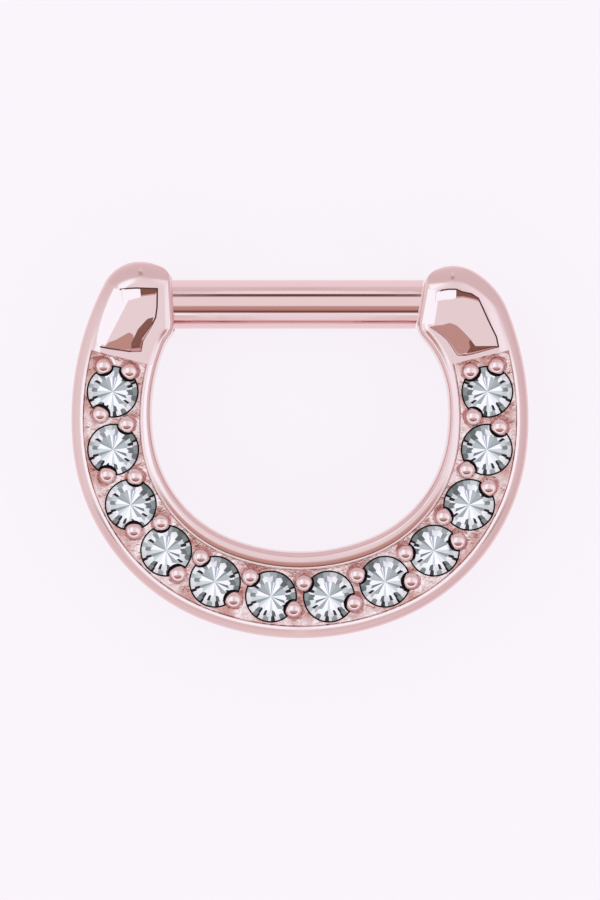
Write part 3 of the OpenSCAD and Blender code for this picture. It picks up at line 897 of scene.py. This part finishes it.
# Stage
studio = {
    "paper": "F9F4FA",
    "glow": 0.86,           # share of the paper's colour that no shadow reaches
    "glowStrength": 1.03,
    "floorReach": 0.6,      # metres from the middle of the floor to its sides
    # what the metal mirrors: degrees from straight above, and the light there. The first two run from
    # the viewer to the back: the bands for the line of the bar alone, the depths for the rest.
    "bands": [
        (-92, (0.80, 0.70, 0.72)), (-84, (0.80, 0.70, 0.72)), (-76, (0.96, 1.00, 1.06)),
        (-43, (0.96, 1.02, 1.08)), (-40, (0.20, 0.09, 0.06)), (-31, (0.22, 0.10, 0.07)),
        (-29, (0.52, 0.33, 0.29)), (-11, (0.60, 0.40, 0.36)), (-7, (0.92, 0.94, 0.98)),
        (33, (0.94, 0.95, 0.98)), (36, (0.50, 0.33, 0.30)), (38, (0.12, 0.05, 0.04)),
        (48, (0.12, 0.05, 0.04)), (50, (1.07, 1.07, 1.10)), (62, (1.05, 1.05, 1.08)),
        (70, (0.76, 0.67, 0.70)), (92, (0.74, 0.65, 0.68)),
    ],
    "depths": [
        (-92, (0.88, 0.82, 0.85)), (-70, (0.86, 0.80, 0.83)), (-60, (0.77, 0.68, 0.70)),
        (-54, (0.78, 0.70, 0.72)), (-46, (0.96, 1.00, 1.05)), (-43, (0.96, 1.02, 1.08)),
        (-40, (0.20, 0.09, 0.06)), (-31, (0.22, 0.10, 0.07)), (-28, (0.52, 0.33, 0.29)),
        (-11, (0.62, 0.43, 0.39)), (-7, (2.0, 2.0, 2.0)), (23, (2.0, 2.0, 2.0)),
        (30, (0.76, 0.69, 0.72)), (60, (0.76, 0.69, 0.72)), (92, (0.84, 0.78, 0.81)),
    ],
    # from left to right
    "sides": [
        (-92, (0.80, 0.73, 0.76)), (-60, (0.84, 0.80, 0.83)), (-36, (0.87, 0.87, 0.90)),
        (-30, (1.14, 1.40, 1.52)), (-9, (1.14, 1.42, 1.55)), (-5, (0.94, 0.99, 1.04)),
        (3, (0.89, 0.93, 0.96)), (8, (0.91, 0.95, 1.00)), (18, (0.99, 1.05, 1.13)),
        (34, (1.05, 1.16, 1.24)), (42, (0.96, 1.02, 1.08)), (50, (0.82, 0.75, 0.79)),
        (92, (0.72, 0.63, 0.67)),
    ],
    # the same, for light that comes from due left or right
    "flanks": [
        (-92, (0.82, 0.76, 0.79)), (-75, (0.87, 0.87, 0.90)), (-36, (0.89, 0.90, 0.94)),
        (-30, (1.14, 1.40, 1.52)), (-9, (1.14, 1.42, 1.55)), (-5, (0.94, 0.99, 1.04)),
        (3, (0.89, 0.93, 0.96)), (10, (0.92, 0.97, 1.02)), (17, (1.05, 1.18, 1.28)),
        (36, (1.08, 1.22, 1.32)), (44, (0.90, 0.93, 0.97)), (50, (0.82, 0.75, 0.79)),
        (92, (0.72, 0.63, 0.67)),
    ],
    # a row of lamps draws the bright line along the rim: degrees from straight above, brightness
    "lamps": [(42, 0), (45, 1), (52, 1), (55, 0)],
    "lampColour": (1.20, 1.45, 1.55),
    "lampsEnd": (0.12, 0.25),   # how far to the back, as a share of the distance, the row fades
    "barLine": (1.1, 1.5),      # degrees to the side of the bar's line at which its bands fade
    "sidesOnly": (20, 33),      # degrees from due left or right at which the flanks fade
}


def softStudio():
    scene = bpy.context.scene
    scene.world = bpy.data.worlds.new("softStudio")
    scene.world.use_nodes = True
    tree = scene.world.node_tree
    tree.nodes.clear()
    output = addNode(tree, "ShaderNodeOutputWorld")
    place = addNode(tree, "ShaderNodeTexCoord")
    split = addNode(tree, "ShaderNodeSeparateXYZ", {"Vector": place.outputs["Generated"]})
    # each row of cards by how far the light leans to the side (X) or to the back (Y)
    light = {}
    for axis, rows in (("X", ["sides", "flanks"]), ("Y", ["depths", "bands"])):
        lean = addNode(tree, "ShaderNodeMath", {
            0: split.outputs[axis], 1: split.outputs["Z"]}, operation="ARCTAN2")
        share = addNode(tree, "ShaderNodeMapRange", {
            "Value": lean.outputs[0], "From Min": -math.pi, "From Max": math.pi})
        for name in rows:
            ramp = addNode(tree, "ShaderNodeValToRGB", {"Fac": share.outputs["Result"]})
            stops = ramp.color_ramp.elements
            for i, (tilt, colour) in enumerate(studio[name]):
                stop = stops[i] if i < 2 else stops.new(1.0)
                stop.position = (tilt + 180) / 360
                stop.color = (*colour, 1)
            light[name] = ramp.outputs["Color"]
        light[axis] = lean.outputs[0]
    room = addNode(tree, "ShaderNodeMix", {
        "Factor": 1.0, "A": light["sides"], "B": light["depths"]}, data_type="RGBA", blend_type="DARKEN")
    # the flanks, where the light comes from due left or right
    sizes = [addNode(tree, "ShaderNodeMath", {0: split.outputs[axis]}, operation="ABSOLUTE")
             for axis in "YX"]
    turned = addNode(tree, "ShaderNodeMath", {
        i: sizes[i].outputs[0] for i in (0, 1)}, operation="ARCTAN2")
    near, far = [math.radians(a) for a in studio["sidesOnly"]]
    across = addNode(tree, "ShaderNodeMapRange", {
        "Value": turned.outputs[0], "From Min": near, "From Max": far})
    room = addNode(tree, "ShaderNodeMix", {
        "Factor": across.outputs["Result"], "A": light["flanks"], "B": room.outputs["Result"]},
        data_type="RGBA")
    # the row of lamps, which fades to the back
    steep = addNode(tree, "ShaderNodeMath", {0: split.outputs["Z"]}, operation="ARCCOSINE")
    share = addNode(tree, "ShaderNodeMapRange", {
        "Value": steep.outputs[0], "From Min": 0.0, "From Max": math.pi})
    row = addNode(tree, "ShaderNodeValToRGB", {"Fac": share.outputs["Result"]})
    stops = row.color_ramp.elements
    for i, (tilt, shine) in enumerate(studio["lamps"]):
        stop = stops[i] if i < 2 else stops.new(1.0)
        stop.position = tilt / 180
        stop.color = (shine, shine, shine, 1)
    near, far = studio["lampsEnd"]
    front = addNode(tree, "ShaderNodeMapRange", {
        "Value": split.outputs["Y"], "From Min": far, "From Max": near})
    lit = addNode(tree, "ShaderNodeMath", {
        0: row.outputs["Color"], 1: front.outputs["Result"]}, operation="MULTIPLY")
    room = addNode(tree, "ShaderNodeMix", {
        "Factor": lit.outputs[0], "A": room.outputs["Result"], "B": (*studio["lampColour"], 1)},
        data_type="RGBA")
    # the bar lies along X, so it mirrors only a narrow strip of the room, which has its own bands
    aside = addNode(tree, "ShaderNodeMath", {0: light["X"]}, operation="ABSOLUTE")
    near, far = [math.radians(a) for a in studio["barLine"]]
    beside = addNode(tree, "ShaderNodeMapRange", {
        "Value": aside.outputs[0], "From Min": near, "From Max": far})
    sky = addNode(tree, "ShaderNodeMix", {
        "Factor": beside.outputs["Result"], "A": light["bands"], "B": room.outputs["Result"]},
        data_type="RGBA")
    # behind the ring there is plain paper
    rays = addNode(tree, "ShaderNodeLightPath")
    seen = addNode(tree, "ShaderNodeMix", {
        "Factor": rays.outputs["Is Camera Ray"], "A": sky.outputs["Result"],
        "B": linear(studio["paper"])}, data_type="RGBA")
    background = addNode(tree, "ShaderNodeBackground", {"Color": seen.outputs["Result"], "Strength": 1.0})
    tree.links.new(background.outputs["Background"], output.inputs["Surface"])


def addFloor():
    bm = bmesh.new()
    bmesh.ops.create_grid(bm, x_segments=1, y_segments=1, size=studio["floorReach"])
    mesh = bpy.data.meshes.new("paperFloor")
    bm.to_mesh(mesh)
    bm.free()
    floor = bpy.data.objects.new("paperFloor", mesh)
    bpy.context.scene.collection.objects.link(floor)
    # matt paper, lit from all round: only a faint shade shows under the ring
    material, tree, output = newMaterial("palePaper")
    diffuse = addNode(tree, "ShaderNodeBsdfDiffuse", {"Color": linear("FFFAFF")})
    glow = addNode(tree, "ShaderNodeEmission", {
        "Color": linear(studio["paper"]), "Strength": studio["glowStrength"]})
    both = addNode(tree, "ShaderNodeMixShader", {
        "Fac": studio["glow"], 1: diffuse.outputs["BSDF"], 2: glow.outputs["Emission"]})
    tree.links.new(both.outputs["Shader"], output.inputs["Surface"])
    mesh.materials.append(material)


camera = {
    "distance": 0.2,            # metres above the height that it is aimed at
    "viewHeight": 21.96 * mm,   # what the picture's height takes in
    "sensor": 36.0,
    "aimHeight": 2.2 * mm,
}


def addCamera():
    data = bpy.data.cameras.new("camera")
    data.sensor_width = camera["sensor"]
    data.lens = camera["sensor"] * camera["distance"] / camera["viewHeight"]
    data.clip_start = 0.005
    data.clip_end = 5
    eye = bpy.data.objects.new("camera", data)
    eye.location = (0, 0, camera["distance"] + camera["aimHeight"])
    bpy.context.scene.collection.objects.link(eye)
    bpy.context.scene.camera = eye


addFloor()
softStudio()
addCamera()
bpy.context.scene.view_settings.view_transform = "Standard"
print("stage made")
